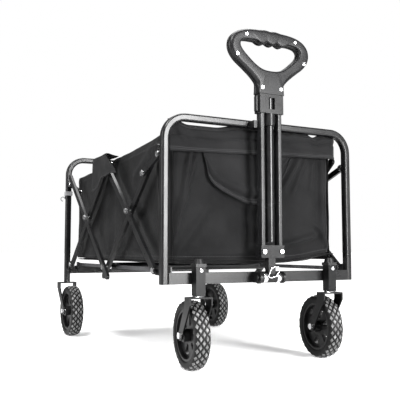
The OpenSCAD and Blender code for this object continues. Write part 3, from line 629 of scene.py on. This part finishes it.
def ear_at(side):
    def place(across, up):
        spot = across * (len(ear_edge) - 1)
        first = min(len(ear_edge) - 2, int(spot))
        low_y = mixed(ear_edge[first][0], ear_edge[first + 1][0], spot - first)
        low_z = mixed(ear_edge[first][1], ear_edge[first + 1][1], spot - first)
        top_y = mixed(0.0900, -0.0100, across)
        drop = 1.0 - up
        over = eased(0.0, 0.26, drop)
        x = mixed(0.2415, 0.2862, over) + 0.0016 * math.sin(7.0 * across + 3.0 * drop)
        y = mixed(top_y, low_y, eased(0.12, 1.0, drop) * 0.35 + 0.65 * max(0.0, (drop - 0.12) / 0.88))
        shoulder = 0.5510 - 0.0035 * math.cos(math.pi * over)
        z = mixed(shoulder, low_z, max(0.0, (drop - 0.16) / 0.84) ** 1.12)
        x += 0.0022 * math.exp(-((across - 0.30 - 0.2 * drop) / 0.10) ** 2) * eased(0.3, 0.9, drop)
        x += rumple(y, z, 80.0 + side, 16.0, 0.0009)
        x += 0.0012 * math.exp(-((drop - 0.95) / 0.05) ** 2)
        return Vector((side * max(x, 0.2400 + 0.044 * over), y, z))
    return place


# The ear flaps are a lighter copy of the cloth (1.3): painted light from above.
ear_cloth = woven("ear_flap_cloth", 0.0011, seams_up=(0.006,), seams_across=(0.006,), painted_light_level=1.3)
for side, name in ((-1.0, "left_ear_flap"), (1.0, "right_ear_flap")):
    panel(name, (0.150, 0.140), (52, 52), ear_at(side), ear_cloth, 0.0014, "bars_b")

# Floor: three stiff boards quilted into the cloth, with soft channels where the floor folds.
# The front right corner is drawn up a little by the wall that is sewn to it.
floor_low, floor_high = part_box("basket_floor")
boards = bmesh.new()
bmesh.ops.create_grid(boards, x_segments=64, y_segments=110, size=0.5)
quilt = boards.loops.layers.uv.new("cut")
for face in boards.faces:
    for corner in face.loops:
        corner[quilt].uv = ((corner.vert.co.x + 0.5) * 0.472, (corner.vert.co.y + 0.5) * 0.770)
bmesh.ops.solidify(boards, geom=boards.faces[:], thickness=0.1)
middle_of_boards = sum(v.co.z for v in boards.verts) / len(boards.verts)
channels = (-0.112, 0.146)
for point in boards.verts:
    x = point.co.x * 0.472
    y = mixed(floor_low.y + 0.004, floor_high.y - 0.004, point.co.y + 0.5)
    face_up = point.co.z > middle_of_boards
    puff = 0.0011 * (1.0 - (2.0 * abs(x) / 0.472) ** 6)
    sewn = sum(math.exp(-((y - line) / 0.006) ** 2) for line in channels)
    sewn += math.exp(-((abs(x) - 0.224) / 0.005) ** 2)
    half = 0.0028 + puff - 0.0022 * min(1.0, sewn)
    edge = min(0.236 - abs(x), y - floor_low.y - 0.004, floor_high.y - 0.004 - y)
    half *= 0.35 + 0.65 * eased(0.0, 0.006, edge)
    lift = 0.020 * eased(0.02, 0.23, x) ** 2 * eased(0.22, 0.366, -y)
    lift += rumple(x, y, 90.0, 7.0, 0.0006)
    point.co = Vector((x, y, (floor_low.z + floor_high.z) / 2 + lift + (half if face_up else -half)))
# The floor is a darker copy of the cloth (0.9): painted shade inside the basket.
board_cloth = woven("floor_cloth", 0.0012, seams_up=(0.258, 0.516), seams_across=(0.012, 0.460), painted_light_level=0.9)
floor_pad = settled("padded_floor", boards, board_cloth)
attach(floor_pad, "rear")
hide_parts("basket_floor")
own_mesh(floor_pad)

# Strap loop with its wire hook on the rear left leg: the hook_strap node is dressed in grey webbing; the
# hook's bare bent wire gets no finish of its own.
# The webbing is left as it comes off the loom, a shade lighter than the cloth.
webbing = finish_coat(
    "grey_webbing", (0.16, 0.16, 0.165), (0.24, 0.24, 0.245), 0.74, 0.06, 420.0, 0.0004, blotch=300.0)
dress(webbing, "hook_strap")

# Pull handle: two flat-sided rails and a sliding centre tube in satin black over steel.
# A cast block holds their feet, and the collar with its release button guides the tube.
satin_tube = finish_coat(
    "satin_handle_tube", (0.0075, 0.0075, 0.008), (0.013, 0.013, 0.0135), 0.24, 0.04, 800.0, 0.00005)
cast_collar = finish_coat(
    "collar_casting", (0.0060, 0.0060, 0.0063), (0.011, 0.011, 0.0113), 0.30, 0.06, 700.0, 0.00003,
    gloss=0.17)
dress(satin_tube, "handle_rails", "slide_tube")
dress(cast_collar, "handle_collar", "handle_block", "handle_hinge")
dress(moulded_black, "handle_clip", "release_button")
dress(zinc_plate, "handle_bolts", "grip_screws")

block_low, block_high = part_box("handle_block")
hinge_line = Vector((0.0, (block_low.y + block_high.y) / 2, 0.213))
sleeves = bmesh.new()
for middle in (-0.0190, 0.0190):
    sleeve_spot = Matrix.Translation(hinge_line + Vector((middle, 0, 0)))
    bmesh.ops.create_cone(
        sleeves, cap_ends=True, segments=48, radius1=0.0126, radius2=0.0126, depth=0.0100,
        matrix=sleeve_spot @ Matrix.Rotation(math.pi / 2, 4, "Y"))
bmesh.ops.bevel(sleeves, geom=[e for e in sleeves.edges if len(e.link_faces) == 2
                               and e.calc_face_angle(0.0) > 1.0],
                offset=0.0006, segments=2, profile=0.5, affect="EDGES", material=-1)
hinge_sleeves = settled("hinge_sleeves", sleeves, zinc_plate)
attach(hinge_sleeves, "handle")

bail_line = bpy.data.curves.new("wire_bail", "CURVE")
bail_line.dimensions = "3D"
bail_line.bevel_depth = 0.0013
bail_line.bevel_resolution = 3
bail_line.resolution_u = 6
bail_points = [(-0.0150, -0.0145, 0.0040), (-0.0140, -0.0150, 0.0080), (-0.0060, -0.0160, 0.0225),
               (-0.0020, -0.0165, 0.0250), (0.0130, -0.0165, 0.0255), (0.0160, -0.0160, 0.0225),
               (0.0090, -0.0150, 0.0065), (0.0050, -0.0145, 0.0035)]
wire = bail_line.splines.new("BEZIER")
wire.bezier_points.add(len(bail_points) - 1)
for spot, (x, y, z) in zip(wire.bezier_points, bail_points):
    spot.co = hinge_line + Vector((x, y, z))
    spot.handle_left_type = "AUTO"
    spot.handle_right_type = "AUTO"
wire.use_cyclic_u = True
bail_line.materials.append(zinc_plate)
wire_bail = bpy.data.objects.new("wire_bail", bail_line)
bpy.context.scene.collection.objects.link(wire_bail)
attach(wire_bail, "handle")

# Grip: a D-shaped handle moulded in two glass-filled nylon halves, screwed together.
# Its edges are full and round for the hand, with finger bumps under the top bar.
grip_mould = finish_coat(
    "grip_moulding", (0.0055, 0.0055, 0.0058), (0.0095, 0.0095, 0.010), 0.36, 0.05, 1300.0, 0.00001,
    gloss=0.16)
grip_low, grip_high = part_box("grip_front")
bow_side = [(0.0362, 0.0), (0.0362, 0.0120), (0.0385, 0.0235), (0.0470, 0.0345), (0.0610, 0.0475),
            (0.0795, 0.0620), (0.0985, 0.0765), (0.1120, 0.0930), (0.1172, 0.1100), (0.1142, 0.1280),
            (0.1020, 0.1428), (0.0830, 0.1525), (0.0600, 0.1575), (0.0310, 0.1597)]
hole_side = [(0.0, 0.0592), (0.0180, 0.0604), (0.0345, 0.0660), (0.0505, 0.0760), (0.0660, 0.0885),
             (0.0795, 0.1010), (0.0865, 0.1125), (0.0850, 0.1220), (0.0760, 0.1285), (0.0600, 0.1308)]


def smooth_line(points, steps):
    """Points along a smooth open line through the given points."""
    line = []
    for first in range(len(points) - 1):
        before = Vector(points[max(0, first - 1)])
        a = Vector(points[first])
        b = Vector(points[first + 1])
        after = Vector(points[min(len(points) - 1, first + 2)])
        for step in range(steps):
            t = step / steps
            line.append((2 * a + (b - before) * t + (2 * before - 5 * a + 4 * b - after) * t ** 2
                         + (3 * a - before - 3 * b + after) * t ** 3) / 2)
    line.append(Vector(points[-1]))
    return line


right_bow = [Vector((0.0, 0.0)), Vector((0.0120, 0.0)), Vector((0.0240, 0.0))] + smooth_line(bow_side, 4)
outline = right_bow + [Vector((0.0, 0.1600))] + [Vector((-p.x, p.y)) for p in reversed(right_bow)]
right_hole = smooth_line(hole_side, 4)
finger_line = []
bump_half = 0.0140
bump_depth = 0.0062
for step in range(39):
    x = 0.0570 - step * 0.0030
    bumps = [math.cos(math.pi * min(1.0, abs(x - m) / bump_half) / 2) for m in (-0.024, 0.004, 0.032)]
    finger_line.append(Vector((x, 0.1308 - bump_depth * max(bumps))))
opening = right_hole + finger_line + [Vector((-p.x, p.y)) for p in reversed(right_hole[1:])]
hand_centre = Vector((0.0, 0.0980))
half_depth = 0.0138
hole_round = 0.0058
bow_round = 0.0105


def distances(line):
    """Direction and distance of each point of a closed line, seen from the hand opening's centre."""
    return sorted((math.atan2(p.x, hand_centre.y - p.y), (p - hand_centre).length) for p in line)


def distance_at(rays, turn):
    """Distance to the line in one direction, straight between its points."""
    rays = [(rays[-1][0] - math.tau, rays[-1][1])] + rays + [(rays[0][0] + math.tau, rays[0][1])]
    for (a, near), (b, far) in zip(rays, rays[1:]):
        if a <= turn <= b and b > a:
            return near + (far - near) * (turn - a) / (b - a)
    return rays[0][1]


hole_rays = distances(opening)
bow_rays = distances(outline)
foot_corner = math.atan2(bow_side[0][0], hand_centre.y)
turns = sorted([math.tau * k / 240 - math.pi for k in range(240)] + [foot_corner, -foot_corner])
for half, sign in (("grip_front", -1.0), ("grip_back", 1.0)):
    shape = bmesh.new()
    face_y = grip_high.y + sign * 0.0002
    sections = []
    for turn in turns:
        hole = distance_at(hole_rays, turn)
        width = distance_at(bow_rays, turn) - hole
        opened = min(1.0, max(0.0, (abs(turn) - foot_corner) / 0.12))
        outer = 0.0010 + (bow_round - 0.0010) * opened
        profile = [(0.0, 0.0)]
        for k in range(7):
            lean = math.pi / 2 * k / 6
            inset = hole_round * (1 - math.cos(lean))
            profile.append((inset, half_depth - hole_round * (1 - math.sin(lean))))
        for k in range(9):
            lean = math.pi / 2 * (1 - k / 8)
            inset = outer * (1 - math.cos(lean))
            profile.append((width - inset, half_depth - outer * (1 - math.sin(lean))))
        profile.append((width, 0.0))
        section = []
        for out, rise in profile:
            x = (hole + out) * math.sin(turn)
            z = grip_low.z + hand_centre.y - (hole + out) * math.cos(turn)
            section.append(shape.verts.new((x, face_y + sign * rise, z)))
        sections.append(section)
    for one, other in zip(sections, sections[1:] + sections[:1]):
        for k in range(len(one)):
            after = (k + 1) % len(one)
            shape.faces.new((one[k], one[after], other[after], other[k]))
    shell = settled(f"{half}_shell", shape, grip_mould)
    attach(shell, "handle_upper")
    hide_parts(half)
